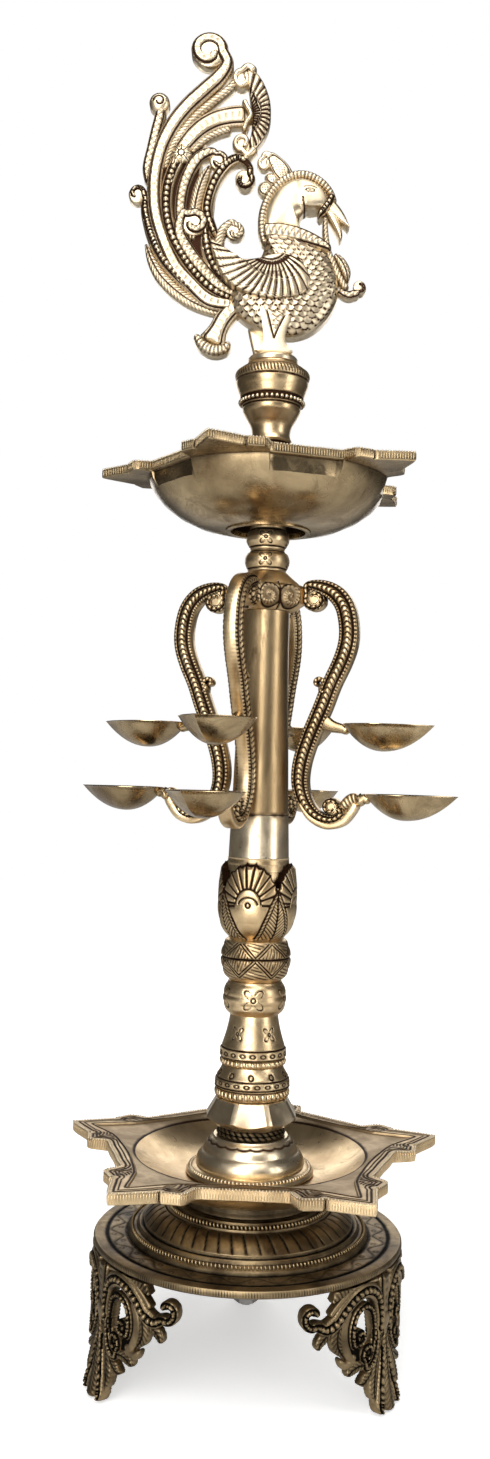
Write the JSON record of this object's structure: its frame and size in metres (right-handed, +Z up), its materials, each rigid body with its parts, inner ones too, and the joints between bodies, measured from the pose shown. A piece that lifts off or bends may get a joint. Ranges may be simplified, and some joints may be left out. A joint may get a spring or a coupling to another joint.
{
  "type": "standing oil lamp",
  "caption": "Tall brass standing oil lamp: legged stand with a petal tray, turned column, branches with leaf cups, petal bowl and a peacock finial.",
  "frame": {"origin": "on the lamp's axis at the floor, which is the centre of the feet", "axes": "+Z up along the column, +X the way the peacock looks, -Y the front of the lamp"},
  "size_m": [0.2158, 0.2199, 0.762],
  "materials": {
    "polished_brass": "polished, warm, with light stains",
    "aged_brass": "aged, dark in the recesses and worn bright on the high spots",
    "dark_brass": "dark brown patina with rubbed edges",
    "pale_brass": "pale satin with brown antique wash in the engraving",
    "steel": "plain"
  },
  "bodies": {
    "stand": {"base_disc": "dark_brass", "leg_front_left": "dark_brass", "leg_front_right": "dark_brass", "leg_back": "dark_brass", "tie_hub": "dark_brass", "tray_foot": "dark_brass", "neck_washer": "dark_brass", "star_tray": "polished_brass", "tray_cone": "polished_brass", "column_lower": "polished_brass", "tray_bead_ring": "aged_brass", "lower_bell": "aged_brass", "upper_bell": "aged_brass", "flower_bead": "aged_brass", "band_bead": "aged_brass", "lotus_cup": "aged_brass", "column_upper": "aged_brass", "faceted_flare": "pale_brass", "tie_rod": "steel", "tie_nut": "steel"},
    "branch_ring": {"branch_collar": "aged_brass", "arm_right": "aged_brass", "lower_cup_right": "aged_brass", "lower_cup_pin_right": "aged_brass", "upper_cup_right": "aged_brass", "upper_cup_pin_right": "aged_brass", "arm_front": "aged_brass", "lower_cup_front": "aged_brass", "lower_cup_pin_front": "aged_brass", "upper_cup_front": "aged_brass", "upper_cup_pin_front": "aged_brass", "arm_left": "aged_brass", "lower_cup_left": "aged_brass", "lower_cup_pin_left": "aged_brass", "upper_cup_left": "aged_brass", "upper_cup_pin_left": "aged_brass", "arm_back": "aged_brass", "lower_cup_back": "aged_brass", "lower_cup_pin_back": "aged_brass", "upper_cup_back": "aged_brass", "upper_cup_pin_back": "aged_brass"},
    "bowl": {"lower_neck_bead": "aged_brass", "upper_neck_bead": "aged_brass", "upper_bowl": "aged_brass", "bowl_socket": "aged_brass", "oil_hub": "aged_brass"},
    "finial": {"finial_pot": "polished_brass", "finial_stud": "steel", "peacock": "pale_brass"}
  },
  "joints": [
    {"name": "branch_ring_turn", "type": "hinge", "parent": "stand", "child": "branch_ring", "pos_m": [0, 0, 0.436], "axis": [0, 0, 1], "continuous": true},
    {"name": "bowl_turn", "type": "hinge", "parent": "stand", "child": "bowl", "pos_m": [0, 0, 0.48], "axis": [0, 0, 1], "continuous": true},
    {"name": "finial_turn", "type": "hinge", "parent": "bowl", "child": "finial", "pos_m": [0, 0, 0.542], "axis": [0, 0, 1], "continuous": true}
  ]
}
